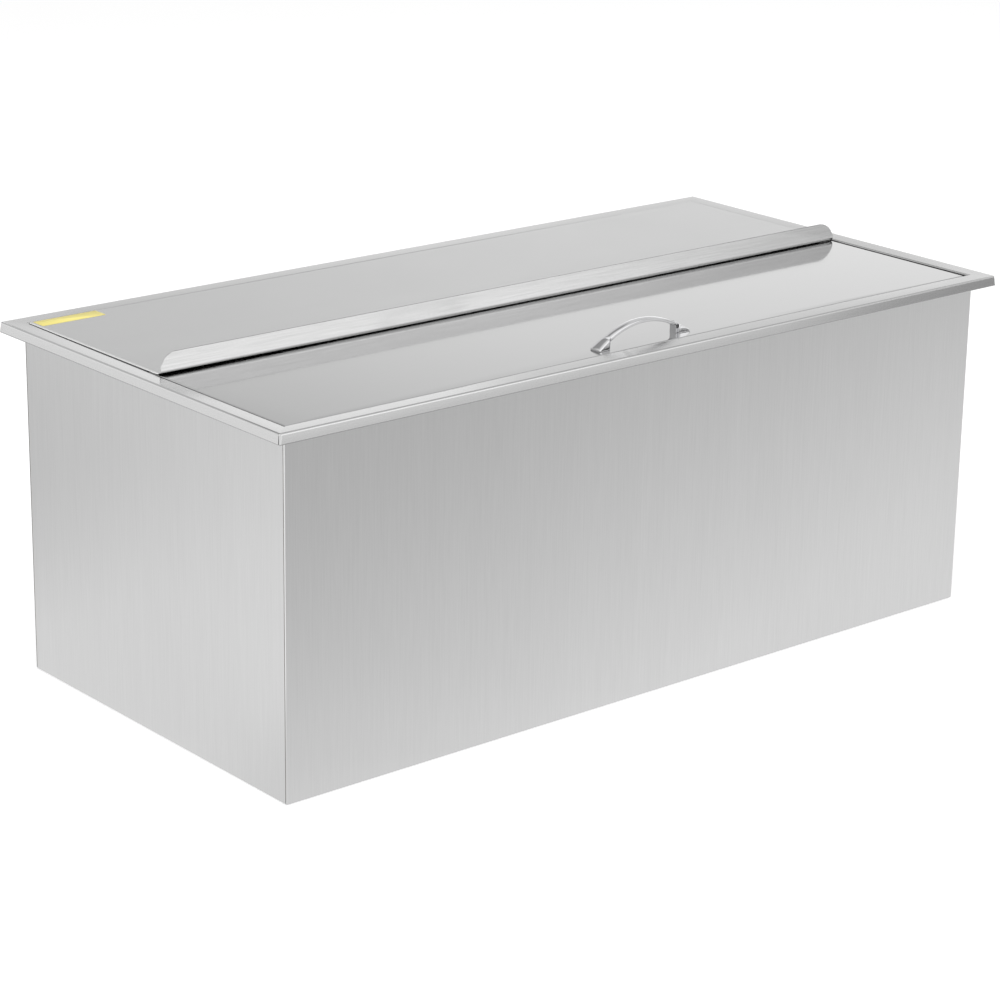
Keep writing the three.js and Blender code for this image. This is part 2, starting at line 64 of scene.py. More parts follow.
nodes = frame["nodes"]

# ---------------------------------------------------------------- node helpers


def feed(tree, socket, value):
    """Link a socket to another one, or set its own value."""
    if isinstance(value, bpy.types.NodeSocket):
        tree.links.new(value, socket)
    else:
        socket.default_value = value


def add(tree, kind, inputs=None, **settings):
    item = tree.nodes.new("ShaderNode" + kind)
    for key, value in settings.items():
        setattr(item, key, value)
    for key, value in (inputs or {}).items():
        feed(tree, item.inputs[key], value)
    return item


def maths(tree, operation, *values):
    return add(tree, "Math", dict(enumerate(values)), operation=operation).outputs[0]


def vector(tree, operation, *values):
    item = add(tree, "VectorMath", dict(enumerate(values)), operation=operation)
    return item.outputs["Value" if operation in ("LENGTH", "DOT_PRODUCT") else "Vector"]


def ramp(tree, value, low, high, to_low, to_high, smooth=True):
    """The value carried from one range to another, and held at its ends."""
    names = ["Value", "From Min", "From Max", "To Min", "To Max"]
    kind = "SMOOTHSTEP" if smooth else "LINEAR"
    inputs = dict(zip(names, (value, low, high, to_low, to_high)))
    item = add(tree, "MapRange", inputs, interpolation_type=kind)
    return item.outputs["Result"]


def blend(tree, factor, a, b, kind):
    slot = {"FLOAT": 2, "VECTOR": 4, "RGBA": 6}[kind]
    item = add(tree, "Mix", {0: factor, slot: a, slot + 1: b}, data_type=kind)
    return item.outputs[{"FLOAT": 0, "VECTOR": 1, "RGBA": 2}[kind]]


def noise(tree, place, scale, detail, roughness):
    inputs = {"Vector": place, "Scale": scale, "Detail": detail, "Roughness": roughness}
    return add(tree, "TexNoise", inputs).outputs["Fac"]


def grey(tree, value):
    return add(tree, "CombineColor", {0: value, 1: value, 2: value}).outputs[0]


def new_material(name):
    """A node material with only its shader and output, and the place on the object at rest."""
    material = bpy.data.materials.new(name)
    material.use_nodes = True
    tree = material.node_tree
    shader = tree.nodes["Principled BSDF"]
    place = add(tree, "TexCoord").outputs["Object"]
    return material, tree, shader, place


# ---------------------------------------------------------------- materials

# Brushed steel: noise cells per metre along and across the grain
GRAIN_LINES = (9, 1500)
GRAIN_HAIRS = (22, 620)
GRAIN_CLOUDS = (1.6, 34)
# How much of its roughness the hairs and the handling move, and how the grain stands out
HAIR_SPREAD = 0.12
HANDLING_SPREAD = 0.16
GRAIN_BUMP = 0.12
GRAIN_DEPTH = 0.02 * MM
# Widths over which the tone of one sheet changes, its painted shade sets in and its painted highlight
# fades in
ABOVE_STEP = 1 * MM
FOOT_SHADE_STEP = 0.6 * MM
CREST_SHADE_STEP = 0.2 * MM
BEND_HIGHLIGHT_STEP = 0.2 * MM
# Noise cells per metre of marks that have no direction
HANDLING_MARKS = 7
SMUDGES = 160
PITS = 2600
PATCHES = 38
# Plated and moulded pieces
PLATE_SPREAD = 0.04
PLATE_BLUE = 1.012
PIT_DEPTH = 0.03 * MM
SOFT_SPREAD = 0.14
SOFT_BUMP = 0.5


def brushed(name, grain, tone, roughness, anisotropy, streak, fine, band=None, above=None, foot=None,
            bend=None, crest=None):
    """Steel sheet brushed along one axis. band turns the grain by a quarter turn on the rim's ends.
    above is a height in metres and how much stronger the streaks are over it, and foot is a height
    and how much of its tone the sheet keeps below it, as painted shade. bend is a place along X, a
    height and how much brighter the sheet is beyond both, as a painted highlight on its bend. crest
    is a height and how much of its tone the cut edge above it keeps, as painted shade along that edge."""
    material, tree, shader, place = new_material(name)
    tangents = {"x": (0, 1, 1), "y": (1, 0, 1), "z": (1, 1, 0)}
    parts = add(tree, "SeparateXYZ", {0: place}).outputs
    if band is not None:
        aside, ahead = (maths(tree, "ABSOLUTE", parts[i]) for i in (0, 1))
        end = maths(tree, "GREATER_THAN", maths(tree, "SUBTRACT", aside, ahead), band)
        turned = add(tree, "CombineXYZ", {0: parts[1], 1: parts[0], 2: parts[2]}).outputs[0]
        place = blend(tree, end, place, turned, "VECTOR")
        tangent = blend(tree, end, tangents["x"], tangents["y"], "VECTOR")
    else:
        tangent = vector(tree, "ADD", tangents[grain], (0, 0, 0))
    tree.links.new(tangent, shader.inputs["Tangent"])

    def stretched(along, across):
        scale = [across] * 3
        scale["xyz".index(grain)] = along
        return vector(tree, "MULTIPLY", place, tuple(scale))

    lines = noise(tree, stretched(*GRAIN_LINES), 1, 3, 0.6)
    hairs = noise(tree, stretched(*GRAIN_HAIRS), 1, 2, 0.55)
    clouds = noise(tree, stretched(*GRAIN_CLOUDS), 1, 3, 0.6)
    handling = noise(tree, place, HANDLING_MARKS, 4, 0.6)
    # Each noise is 0.5 on average, so the tone keeps its mean.
    value = maths(tree, "MULTIPLY_ADD", lines, fine, -fine - streak / 2)
    value = maths(tree, "MULTIPLY_ADD", hairs, fine, value)
    value = maths(tree, "MULTIPLY_ADD", clouds, streak, value)
    if above is not None:
        height, factor = above
        stronger = ramp(tree, parts[2], height, height + ABOVE_STEP, 1, factor)
        value = maths(tree, "MULTIPLY", value, stronger)
    value = maths(tree, "MULTIPLY_ADD", value, tone, tone)
    # Painted shade: below the foot's height the sheet keeps only part of its tone.
    if foot is not None:
        height, kept = foot
        low, high = height - FOOT_SHADE_STEP / 2, height + FOOT_SHADE_STEP / 2
        value = maths(tree, "MULTIPLY", value, ramp(tree, parts[2], low, high, kept, 1))
    # Painted shade: above the crest's height the edge keeps only part of its tone, a dark line along it.
    if crest is not None:
        height, kept = crest
        low, high = height - CREST_SHADE_STEP / 2, height + CREST_SHADE_STEP / 2
        value = maths(tree, "MULTIPLY", value, ramp(tree, parts[2], low, high, 1, kept))
    # Painted highlight: beyond a place along X and above a height the sheet is brighter, a bright line
    # on its bend.
    if bend is not None:
        reach, height, factor = bend
        painted_highlight = ramp(tree, parts[2], height, height + BEND_HIGHLIGHT_STEP, 0, factor - 1)
        low, high = reach - BEND_HIGHLIGHT_STEP / 2, reach + BEND_HIGHLIGHT_STEP / 2
        painted_highlight = maths(tree, "MULTIPLY", painted_highlight, ramp(tree, parts[0], low, high, 1, 0))
        value = maths(tree, "MULTIPLY_ADD", value, painted_highlight, value)
    tree.links.new(grey(tree, value), shader.inputs["Base Color"])
    mean = (1 - HAIR_SPREAD / 2 - HANDLING_SPREAD / 2) * roughness
    rough = maths(tree, "MULTIPLY_ADD", hairs, HAIR_SPREAD * roughness, mean)
    rough = maths(tree, "MULTIPLY_ADD", handling, HANDLING_SPREAD * roughness, rough)
    tree.links.new(rough, shader.inputs["Roughness"])
    height = maths(tree, "MULTIPLY_ADD", hairs, 0.5, lines)
    bump = add(tree, "Bump", {"Strength": GRAIN_BUMP, "Distance": GRAIN_DEPTH, "Height": height})
    tree.links.new(bump.outputs[0], shader.inputs["Normal"])
    shader.inputs["Metallic"].default_value = 1
    shader.inputs["Anisotropic"].default_value = anisotropy
    return material


def plated(name, tone, roughness, smudge, grit=0.0):
    """Plated or polished metal with faint handling marks."""
    material, tree, shader, place = new_material(name)
    marks = noise(tree, place, SMUDGES, 4, 0.62)
    value = maths(tree, "MULTIPLY_ADD", marks, PLATE_SPREAD, tone - PLATE_SPREAD / 2)
    blue = maths(tree, "MULTIPLY", value, PLATE_BLUE)
    tint = add(tree, "CombineColor", {0: value, 1: value, 2: blue})
    tree.links.new(tint.outputs[0], shader.inputs["Base Color"])
    rough = maths(tree, "MULTIPLY_ADD", marks, smudge, roughness - smudge / 2)
    tree.links.new(rough, shader.inputs["Roughness"])
    if grit:
        pits = noise(tree, place, PITS, 2, 0.5)
        bump = add(tree, "Bump", {"Strength": grit, "Distance": PIT_DEPTH, "Height": pits})
        tree.links.new(bump.outputs[0], shader.inputs["Normal"])
    shader.inputs["Metallic"].default_value = 1
    return material


def moulded(name, low, high, roughness, grain, depth, cells=False):
    """A dull soft material between two colours, with a fine grain or foam cells."""
    material, tree, shader, place = new_material(name)
    patches = noise(tree, place, PATCHES, 4, 0.6)
    mixed = blend(tree, patches, (*low, 1), (*high, 1), "RGBA")
    tree.links.new(mixed, shader.inputs["Base Color"])
    if cells:
        height = add(tree, "TexVoronoi", {"Vector": place, "Scale": grain}).outputs["Distance"]
    else:
        height = noise(tree, place, grain, 3, 0.6)
    bump = add(tree, "Bump", {"Strength": SOFT_BUMP, "Distance": depth, "Height": height})
    tree.links.new(bump.outputs[0], shader.inputs["Normal"])
    rough = maths(tree, "MULTIPLY_ADD", patches, SOFT_SPREAD, roughness - SOFT_SPREAD / 2)
    tree.links.new(rough, shader.inputs["Roughness"])
    return material


# Where the rim's mitres end: half its width less half its depth
rim_reach = (cad_box[1][0] - cad_box[0][0]) / 2 - (cad_box[1][1] - cad_box[0][1]) / 2

# The rim's sheet keeps 0.6 of its tone below its skirt's foot: painted shade along the hem.
steel_rim = brushed("steel_rim", "x", 0.66, 0.18, 0.7, 0.02, 0.04, band=rim_reach, foot=(0.3461, 0.6))
steel_wall = brushed("steel_wall", "z", 0.662, 0.3, 0.72, 0.04, 0.09)
# The rear cover's sheet has a painted highlight on its left bend (bend) and painted shade along the
# lip's top edge (crest).
steel_cover = brushed("steel_cover", "x", 0.66, 0.24, 0.85, 0.03, 0.1, above=(0.357, 2.2),
                      bend=(-0.4347, 0.3547, 1.5), crest=(0.3738, 0.45))
steel_bright = brushed("steel_bright", "x", 0.622, 0.075, 0.4, 0.01, 0.008)
steel_inside = brushed("steel_inside", "x", 0.62, 0.28, 0.35, 0.02, 0.012)
steel_drain = brushed("steel_drain", "x", 0.66, 0.2, 0.2, 0.02, 0.01)
chrome = plated("chrome", 0.79, 0.085, 0.04)
zinc = plated("zinc", 0.5, 0.38, 0.12, 0.35)
foam = moulded("foam", (0.78, 0.7, 0.46), (0.86, 0.79, 0.56), 0.9, 900, 0.0004, cells=True)
rubber = moulded("rubber", (0.016, 0.016, 0.017), (0.03, 0.03, 0.031), 0.62, 2400, 0.00004)
fibre = moulded("fibre", (0.2, 0.1, 0.045), (0.31, 0.17, 0.085), 0.85, 1500, 0.0001)
film = moulded("film", (0.84, 0.735, 0.23), (0.88, 0.775, 0.26), 0.6, 900, 0.00001)

# ---------------------------------------------------------------- refined copies of the sheet pieces

# Metres within which corners are one, and degrees between faces that are one or that meet sharply
WELD = 1e-6
FLAT_ANGLE = 0.5
SHARP_ANGLE = 38


def merged(node):
    """The node's faces with shared corners and flat faces joined."""
    bm = bmesh.new()
    bm.from_mesh(nodes[node].data)
    bmesh.ops.remove_doubles(bm, verts=bm.verts, dist=WELD)
    flat = math.radians(FLAT_ANGLE)
    bmesh.ops.dissolve_limit(bm, angle_limit=flat, verts=bm.verts, edges=bm.edges)
    return bm


def smoothed(bm, name, sharp=SHARP_ANGLE):
    """A mesh object with smooth faces and sharp edges above an angle."""
    for face in bm.faces:
        face.smooth = True
    for edge in bm.edges:
        edge.smooth = len(edge.link_faces) == 2 and edge.calc_face_angle(0) < math.radians(sharp)
    mesh = bpy.data.meshes.new(name)
    bm.to_mesh(mesh)
    bm.free()
    obj = bpy.data.objects.new(name, mesh)
    bpy.context.scene.collection.objects.link(obj)
    return obj


def weighted(obj):
    """Flat faces keep flat normals beside the rounded bends."""
    mod = obj.modifiers.new("normals", "WEIGHTED_NORMAL")
    mod.keep_sharp = True
    mod.weight = 100


def refined(node, material, sharp=SHARP_ANGLE, shape=None):
    """A smooth copy in place of a node's solid, with its unevenness if shape adds any."""
    bm = merged(node)
    if shape:
        shape(bm)
    obj = smoothed(bm, node + "_sheet", sharp)
    weighted(obj)
    obj.data.materials.append(material)
    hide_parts(node)
    bodies = frame["record"]["behaviour"]["bodies"]
    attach(obj, next(body for body, members in bodies.items() if node in members))


def paint(material, *names):
    for name in names:
        for slot in nodes[name].material_slots:
            slot.link = "OBJECT"
            slot.material = material


# The unevenness of the thin sheet, all in mm. First the rim's band: how far its inner edge is
# raised at places along each side.
BAND_WAVES = {
    "front": ((-438, -0.6), (-270, -0.5), (-150, 0.6), (0, 0.85), (150, 1.0), (300, 0.75), (438, 0.45)),
    "rear": ((-438, 0.1), (-300, 0.3), (0, 0.3), (438, -0.2)),
    "left": ((-209, -0.7), (-60, -0.7), (100, -0.45), (209, 0.1)),
    "right": ((-209, 0.4), (-100, -0.3), (209, -0.1)),
}
BAND_CUTS_X = (-380, -330, -270, -240, -210, -180, -150, -75, 0, 75, 150, 225, 300, 380)
BAND_CUTS_Y = (-140, -70, 0, 50, 100, 150)
# The inner edge lies between these distances from the rim's outside, and this far from its top.
BAND_ZONE = (17, 21)
BAND_DEPTH = 3
# How much wider the seams at the upright corners are, and how close to a seam its edge lies
SEAM_EXTRA = 0.5
SEAM_ZONE = 0.01
# How far back the front cover's front edge stands at places along X, and how far its sides reach out
EDGE_WAVES = ((-434, -2.8), (-300, -2.4), (-150, -0.5), (0, 0.9), (150, 0.9), (300, 0.4), (434, 0.2))
EDGE_CUTS = (-400, -350, -300, -260, -225, -190, -150, -100, -50, 0, 150, 225, 300)
SIDE_REACH = 1.2
# How close to the cover's outside its bent edge lies
EDGE_ZONE = 1.5
# How far the outside of the lip's bend hangs down at places along X
LIP_SAG = ((-436, -0.45), (-330, 0), (-250, 0.35), (-100, 0.6), (200, 0.55), (436, 0.2))
LIP_CUTS = (-400, -365, -330, -290, -250, -175, -100, 0, 200, 300, 370)
# The bend lies in front of this place along Y, beyond a cut, and this far below the lip's top.
LIP_ZONE = -7
LIP_CUT = -6
LIP_RISE = 18.15


def table_value(table, place):
    """A value between the places of a table, with smooth steps."""
    for (a, low), (b, high) in zip(table, table[1:]):
        if place <= b:
            t = max(0.0, (place - a) / (b - a))
            return low + (high - low) * t * t * (3 - 2 * t)
    return table[-1][1]


def band_waves(bm):
    half = (cad_box[1][0], cad_box[1][1])
    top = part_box("rim_frame")[1][2]
    for axis, cuts in ((0, BAND_CUTS_X), (1, BAND_CUTS_Y)):
        for cut in cuts:
            cut_across(bm, axis, cut)
    for vert in bm.verts:
        x, y, z = vert.co
        inset = (half[0] - abs(x), half[1] - abs(y))
        outer, inner = BAND_ZONE
        if not outer * MM <= min(inset) <= inner * MM or z < top - BAND_DEPTH * MM:
            continue
        waves = []
        if inset[0] < inner * MM:
            waves.append(table_value(BAND_WAVES["left" if x < 0 else "right"], y / MM))
        if inset[1] < inner * MM:
            waves.append(table_value(BAND_WAVES["front" if y < 0 else "rear"], x / MM))
        vert.co.z += MM * sum(waves) / len(waves)


def wider_seam(bm):
    """The end sheets' upright edges stand a little further from the corner sheets."""
    reach = max(abs(vert.co.y) for vert in bm.verts)
    for vert in bm.verts:
        if reach - abs(vert.co.y) < SEAM_ZONE * MM:
            vert.co.y -= math.copysign(SEAM_EXTRA * MM, vert.co.y)


def cut_across(bm, axis, cut):
    """Cuts the faces at a place in mm along an axis, so that they can bend there."""
    place, normal = Vector(), Vector()
    place[axis], normal[axis] = cut * MM, 1
    geometry = bm.verts[:] + bm.edges[:] + bm.faces[:]
    bmesh.ops.bisect_plane(bm, geom=geometry, dist=WELD, plane_co=place, plane_no=normal)


def cover_edges(bm):
    """The front cover's edges, which aren't quite straight."""
    low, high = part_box("front_cover")
    for cut in EDGE_CUTS:
        cut_across(bm, 0, cut)
    for vert in bm.verts:
        if vert.co.y < low[1] + EDGE_ZONE * MM:
            vert.co.y += MM * table_value(EDGE_WAVES, vert.co.x / MM)
        if high[0] - abs(vert.co.x) < EDGE_ZONE * MM:
            vert.co.x += math.copysign(SIDE_REACH * MM, vert.co.x)


def lip_foot(bm):
    """The outside of the lip's bend, which hangs unevenly below the cover's sheet."""
    cut_across(bm, 1, LIP_CUT)
    for cut in LIP_CUTS:
        cut_across(bm, 0, cut)
    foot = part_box("rear_cover")[1][2] - LIP_RISE * MM
    for vert in bm.verts:
        if vert.co.y < LIP_ZONE * MM and vert.co.z < foot:
            vert.co.z -= MM * table_value(LIP_SAG, vert.co.x / MM)


refined("rim_frame", steel_rim, shape=band_waves)
for side in ("front", "rear"):
    refined("casing_" + side, steel_wall)
for side in ("left", "right"):
    refined("casing_" + side, steel_wall, shape=wider_seam)
refined("inner_liner", steel_inside)
refined("front_cover", steel_bright, shape=cover_edges)
refined("rear_cover", steel_cover, shape=lip_foot)
refined("drain_body", steel_drain)
refined("drain_plug", rubber)
refined("drain_plug_ring", chrome, sharp=60)
paint(steel_wall, "casing_bottom")
paint(foam, *["insulation_" + side for side in ("front", "rear", "left", "right", "floor")])
paint(rubber, "drain_gasket")
paint(fibre, "drain_washer")
paint(zinc, "drain_locknut")
for side in ("left", "right"):
    paint(zinc, "handle_screw_" + side, "handle_washer_" + side)

# ---------------------------------------------------------------- handle

# Its origin's place on the part in mm, on the cover under the middle of the arch, and its turn
# in degrees
HANDLE_X = -2.8
HANDLE_Y = -186.2
HANDLE_TURN = 2.6
# In mm, along the handle's own length: the curves of its top and underside
HANDLE_HALF = 60.3
HANDLE_RISE = 22.2
HANDLE_TIP = 2.0
HANDLE_FOOT = 0.02
UNDER_RISE = 18.4
UNDER_END = 7.0
# Strip, post and tail of each foot. Each side of a tail leans out below a height, the end is
# undercut, and the front side of the right tail flares.
STRIP_WIDTH = 8.8
POST_WIDTH = 8.0
TAIL_WIDTH = 11.5
FOOT_INNER = 44.3
FOOT_FILLET = 0.9
TAIL_START = 46.5
TAIL_BEVEL = (0.6, 0.45)
TAIL_FLARE = 0.075
LEAN = 0.1
LEAN_TOP = 13.5
END_UNDERCUT = 0.45
END_INSET = 0.4
# Bead across the strip: radius, place, and its height as a share of the radius. Groove behind it:
# from, to and depth.
BEAD = 1.15
BEAD_PLACE = 45.0
BEAD_HEIGHT = 0.65
GROOVE = (45.9, 46.45, 0.3)
# Section across the strip: crown, roundings and the most that each takes of its height
CROWN = 0.55
CROWN_SHARE = 0.2
CROWN_STEPS = 4
TOP_ROUND = 1.0
TOP_SHARE = 0.6
TOP_SWEEP = 78
SIDE_ROUND = 0.5
SIDE_SHARE = 0.25
ROUND_STEPS = 4
INSET_DROP = 0.6
LOWEST_SECTION = 0.2
# Stations along half of the handle. The range is left to the stations at the foot's details.
HANDLE_STEPS = 48
DETAIL_RANGE = (40, 48.2)
CUT_GAP = 0.02


def handle_top(x):
    return HANDLE_RISE - (HANDLE_RISE - HANDLE_TIP) * (x / HANDLE_HALF) ** 2


def handle_under(x):
    return UNDER_RISE - (UNDER_RISE - UNDER_END) * (x / FOOT_INNER) ** 2


def handle_station(x):
    """Width, foot and top of the handle at a distance from its middle."""
    a = abs(x)
    width = STRIP_WIDTH
    foot = handle_under(a) if a < FOOT_INNER else HANDLE_FOOT
    top = handle_top(a)
    bead = BEAD ** 2 - (a - BEAD_PLACE) ** 2
    if bead > 0:
        top += math.sqrt(bead) * BEAD_HEIGHT
    if a > FOOT_INNER:
        width = POST_WIDTH
    if GROOVE[0] < a < GROOVE[1]:
        width -= 2 * GROOVE[2]
    if a > TAIL_START:
        width = TAIL_WIDTH
    return width, foot, top


def handle_ring(x, width, foot, top, inset=0.0):
    """One closed section across the handle, crowned on top."""
    half = width / 2 - inset
    top -= inset * INSET_DROP
    room = max(top - foot - LOWEST_SECTION / 2, LOWEST_SECTION)
    round_top = min(TOP_ROUND, room * TOP_SHARE)
    round_foot = min(SIDE_ROUND, room * SIDE_SHARE)
    crown = min(CROWN, room * CROWN_SHARE)
    ring = []
    for i in range(ROUND_STEPS + 1):
        t = math.radians(-90 + 90 * i / ROUND_STEPS)
        y = half - round_foot + round_foot * math.cos(t)
        ring.append((y, foot + round_foot + round_foot * math.sin(t)))
    side = top - crown - round_top
    for i in range(ROUND_STEPS + 1):
        t = math.radians(TOP_SWEEP * i / ROUND_STEPS)
        ring.append((half - round_top + round_top * math.cos(t), side + round_top * math.sin(t)))
    edge_y, edge_z = ring[-1]
    for i in range(1, CROWN_STEPS):
        f = i / CROWN_STEPS
        ring.append((edge_y * (1 - f), edge_z + (top - edge_z) * (1 - (1 - f) ** 2)))
    ring.append((0.0, top))
    if abs(x) > TAIL_START:
        ring = [(y + LEAN * max(LEAN_TOP - z, 0) * y / half, z) for y, z in ring]
    # The front half mirrors the rear one, but for the flare.
    spread = 1 + TAIL_FLARE * max(x - TAIL_START, 0) / half
    mirrored = [(-y * spread, z) for y, z in reversed(ring[:-1])]
    return [(x, y, z) for y, z in ring + mirrored]


def handle_stations():
    """Places of the sections along the handle, closer together at its feet."""
    low, high = DETAIL_RANGE
    xs = {i * HANDLE_HALF / HANDLE_STEPS for i in range(HANDLE_STEPS + 1)}
    xs = {x for x in xs if not low < x < high}
    near = [low, 42] + [FOOT_INNER + step for step in (-1, -0.4, -0.1, 0.001)]
    near += [BEAD_PLACE - BEAD * math.cos(math.radians(18 * i)) for i in range(10)]
    near += [place + side * CUT_GAP for place in GROOVE[:2] for side in (-1, 1)]
    near += [TAIL_START + CUT_GAP, 46.7, 47.2, high]
    positive = sorted(xs | set(near))
    return [-x for x in reversed(positive) if x > 0] + positive


def handle_mesh():
    rings = []
    for x in handle_stations():
        width, foot, top = handle_station(x)
        a = abs(x)
        inset = 0.0
        length, depth = TAIL_BEVEL
        if TAIL_START < a < TAIL_START + length:
            inset = depth * (1 - (a - TAIL_START) / length)
        at_end = a > HANDLE_HALF - CUT_GAP
        if at_end:
            inset = END_INSET
        if FOOT_INNER - 1 < a < FOOT_INNER:
            foot -= FOOT_FILLET * (a - FOOT_INNER + 1) ** 2
        ring = handle_ring(x, width, foot, top, inset)
        if at_end:
            undercut = math.copysign(END_UNDERCUT, x)
            ring = [(px - undercut * (top - pz), py, pz) for px, py, pz in ring]
        rings.append(ring)
    bm = bmesh.new()
    made = [[bm.verts.new([c * MM for c in p]) for p in ring] for ring in rings]
    count = len(made[0])
    for a, b in zip(made, made[1:]):
        for i in range(count):
            j = (i + 1) % count
            bm.faces.new((a[i], a[j], b[j], b[i]))
    bm.faces.new(reversed(made[0]))
    bm.faces.new(made[-1])
    bmesh.ops.recalc_face_normals(bm, faces=bm.faces)
    turn = Matrix.Rotation(math.radians(HANDLE_TURN), 3, "Z")
    bmesh.ops.rotate(bm, verts=bm.verts, matrix=turn)
    origin = Vector((HANDLE_X * MM, HANDLE_Y * MM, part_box("front_cover")[1][2]))
    bmesh.ops.translate(bm, verts=bm.verts, vec=origin)
    return bm


handle = smoothed(handle_mesh(), "bow_handle", sharp=40)
weighted(handle)
handle.data.materials.append(chrome)
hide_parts("cover_handle")
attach(handle, "front_lid")

# ---------------------------------------------------------------- label, left bare

# In mm
LABEL_LOW = (-433.0, 187.6)
LABEL_HIGH = (-362.0, 206.3)
LABEL_FOOT = 355.9
LABEL_THICKNESS = 0.12
LABEL_CORNER = 1.2
CORNER_STEPS = 4


def label_mesh():
    z = LABEL_FOOT * MM
    bm = bmesh.new()
    left, front = (edge + LABEL_CORNER for edge in LABEL_LOW)
    right, rear = (edge - LABEL_CORNER for edge in LABEL_HIGH)
    outline = []
    for corner, (cx, cy) in enumerate(((right, rear), (left, rear), (left, front), (right, front))):
        for i in range(CORNER_STEPS + 1):
            t = math.radians(90 * (corner + i / CORNER_STEPS))
            outline.append((cx + LABEL_CORNER * math.cos(t), cy + LABEL_CORNER * math.sin(t)))
    low = [bm.verts.new((x * MM, y * MM, z)) for x, y in outline]
    high = [bm.verts.new((x * MM, y * MM, z + LABEL_THICKNESS * MM)) for x, y in outline]
    bm.faces.new(reversed(low))
    bm.faces.new(high)
    for i in range(len(low)):
        j = (i + 1) % len(low)
        bm.faces.new((low[i], low[j], high[j], high[i]))
    return bm


label = smoothed(label_mesh(), "bare_label")
label.data.materials.append(film)
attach(label, "rear_lid")

# ---------------------------------------------------------------- floor, studio and camera

FLOOR_SIZE = 12
FLOOR_DROP = 0.0006
FLOOR_TONE = 0.8
FLOOR_LIFT = 0.3
ROOM_LIGHT = 0.78

# What the steel shows of the studio, in metres and degrees. On the floor: a fall of light away
# from the front and a rise beyond it, a bright place at the front left, a dim spot behind the left
# end, and the far dark corner.
FRONT_WAY = (-0.34, -0.94, 0)
FRONT_FALL = (0.2, 0.96, 0.43)
FRONT_RISE = (1.15, 2.0, 0.27)
NEAR_LEFT = (-0.5, -0.8, 0.55)
NEAR_START = (0.1, 0.5)
BACK_SPOT = (-0.4, 1.3, 0)
SPOT_FALL = (1.0, 0.6, 0.28)
DARK_SECTOR = (-46.6, -43.4, 0.4)
DARK_END = (-18, -12)
DARK_START = (2.4, 3.1)

# Beyond the floor: azimuth range, elevation range, feather of each, gain
STUDIO = [
    ("dark_side", (-45.8, -18), (-12, 12), (1.7, 6), -0.54),
    ("key_low", (-64, -48.7), (-8, 9), (2.5, 2), 0.36),
    ("key_high", (-60, -42.5), (9, 27), (2.5, 2), 0.42),
    ("dark_high", (-42, -25), (19, 36), (2.5, 4), -0.42),
    ("front_top", (-48, 30), (40, 60), (8, 5), -0.3),
    ("left_top", (50, 107), (37.5, 58), (8, 1.5), -0.38),
    ("back_left", (53, 124), (-10, 24), (4.5, 5), -0.12),
    ("post_side", (131, 150), (6, 35), (3, 5), -0.5),
    ("overhead", (-181, 181), (66, 91), (1, 20), 0.3),
]
# The wall behind is brighter low down: azimuth range, feather, elevations, gains
BACK_GRADE = ((0, 130), 10, (10.5, 18), (0.26, -0.3))


def build_floor():
    bm = bmesh.new()
    bmesh.ops.create_grid(bm, x_segments=2, y_segments=2, size=FLOOR_SIZE)
    mesh = bpy.data.meshes.new("floor")
    bm.to_mesh(mesh)
    bm.free()
    floor = bpy.data.objects.new("floor", mesh)
    floor.location.z = -FLOOR_DROP
    bpy.context.scene.collection.objects.link(floor)
    material = bpy.data.materials.new("floor")
    material.use_nodes = True
    tree = material.node_tree
    tree.nodes.remove(tree.nodes["Principled BSDF"])
    place = add(tree, "TexCoord").outputs["Object"]
    axes = add(tree, "SeparateXYZ", {0: place}).outputs
    ahead = vector(tree, "DOT_PRODUCT", place, FRONT_WAY)
    low, high, loss = FRONT_FALL
    value = ramp(tree, ahead, low, high, 1, 1 - loss, smooth=False)
    low, high, gain = FRONT_RISE
    value = maths(tree, "ADD", value, ramp(tree, ahead, low, high, 0, gain))
    right, left, gain = NEAR_LEFT
    near = maths(
        tree, "MULTIPLY",
        ramp(tree, axes[0], right, left, 0, gain),
        ramp(tree, ahead, *NEAR_START, 0, 1),
    )
    value = maths(tree, "ADD", value, near)
    outer, inner, loss = SPOT_FALL
    reach = vector(tree, "LENGTH", vector(tree, "SUBTRACT", place, BACK_SPOT))
    value = maths(tree, "SUBTRACT", value, ramp(tree, reach, outer, inner, 0, loss, smooth=False))
    azimuth = maths(tree, "DEGREES", maths(tree, "ARCTAN2", axes[1], axes[0]))
    low, high, loss = DARK_SECTOR
    dark = maths(
        tree, "MULTIPLY",
        ramp(tree, azimuth, low, high, 0, loss),
        ramp(tree, azimuth, *DARK_END, 1, 0),
    )
    away = vector(tree, "LENGTH", place)
    dark = maths(tree, "MULTIPLY", dark, ramp(tree, away, *DARK_START, 0, 1))
    value = maths(tree, "SUBTRACT", value, dark)
    rays = add(tree, "LightPath").outputs
    shown = add(tree, "Emission", {"Color": grey(tree, value), "Strength": 1.0}).outputs[0]
    diffuse = add(tree, "BsdfDiffuse", {"Color": (FLOOR_TONE, FLOOR_TONE, FLOOR_TONE, 1)}).outputs[0]
    lift = add(tree, "Emission", {"Color": (1, 1, 1, 1), "Strength": FLOOR_LIFT}).outputs[0]
    seen = add(tree, "AddShader", {0: diffuse, 1: lift}).outputs[0]
    surface = add(tree, "MixShader", {0: rays["Is Camera Ray"], 1: diffuse, 2: seen}).outputs[0]
    mirror = maths(tree, "MAXIMUM", rays["Is Glossy Ray"], rays["Is Transmission Ray"])
    surface = add(tree, "MixShader", {0: mirror, 1: surface, 2: shown}).outputs[0]
    tree.links.new(surface, tree.nodes["Material Output"].inputs["Surface"])
    floor.data.materials.append(material)


